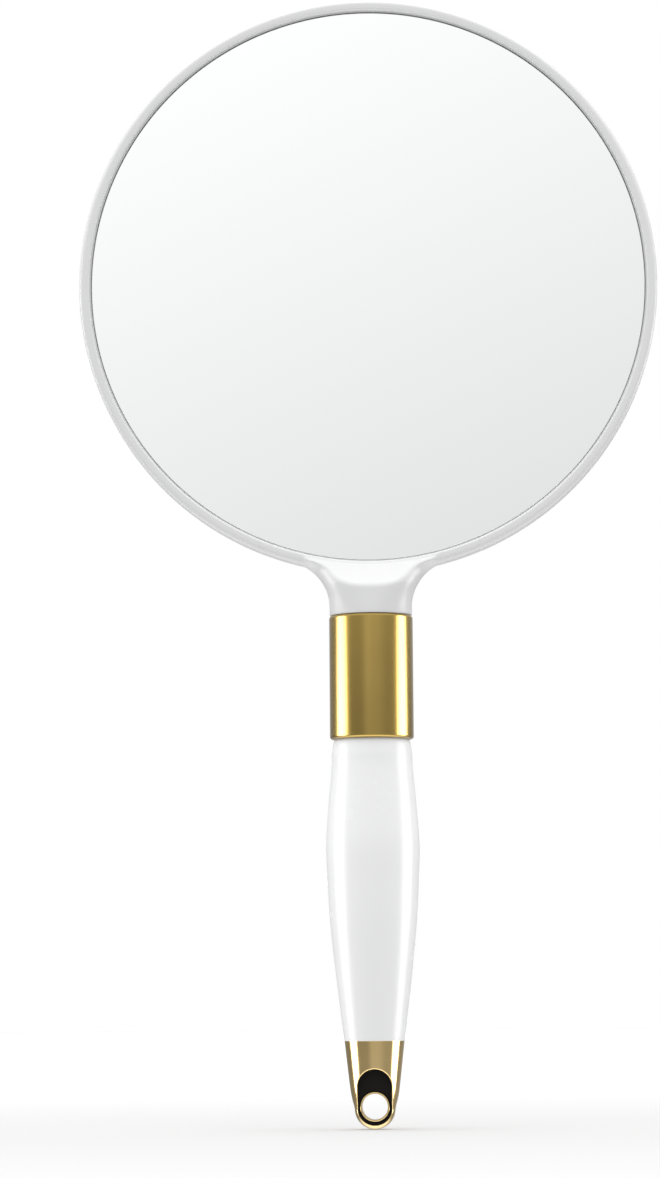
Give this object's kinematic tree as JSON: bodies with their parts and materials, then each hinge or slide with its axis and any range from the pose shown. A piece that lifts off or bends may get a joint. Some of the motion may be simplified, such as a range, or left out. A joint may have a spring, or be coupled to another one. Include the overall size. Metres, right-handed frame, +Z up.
{
  "type": "hand mirror",
  "caption": "Round hand mirror with a white rim, a gold collar, a slim swelling grip and a gold pocketed tail with a hanging eyelet.",
  "frame": {"origin": "centre of the hanging hole in the tail", "axes": "+Z up the handle towards the head; the mirror faces -Y; +X to the viewer's right"},
  "size_m": [0.16, 0.0256, 0.3121],
  "materials": {
    "head_frame": "gloss white ABS",
    "mirror_glass": "silvered float glass with a ground edge",
    "foam_tape": "closed-cell foam tape, adhesive both sides",
    "back_cover": "gloss white ABS",
    "collar": "satin gold anodised tube",
    "grip": "gloss white ABS",
    "threaded_insert": "plain brass",
    "tie_washer": "zinc plated",
    "tie_screw": "zinc plated",
    "tail_cap": "polished gold plate on die casting",
    "hanging_eyelet": "polished gold plate"
  },
  "bodies": {
    "root": {"head_frame": "head_frame", "mirror_glass": "mirror_glass", "foam_tape": "foam_tape", "back_cover": "back_cover", "collar": "collar", "grip": "grip", "threaded_insert": "threaded_insert", "tie_washer": "tie_washer", "tie_screw": "tie_screw", "tail_cap": "tail_cap", "hanging_eyelet": "hanging_eyelet"}
  },
  "joints": []
}
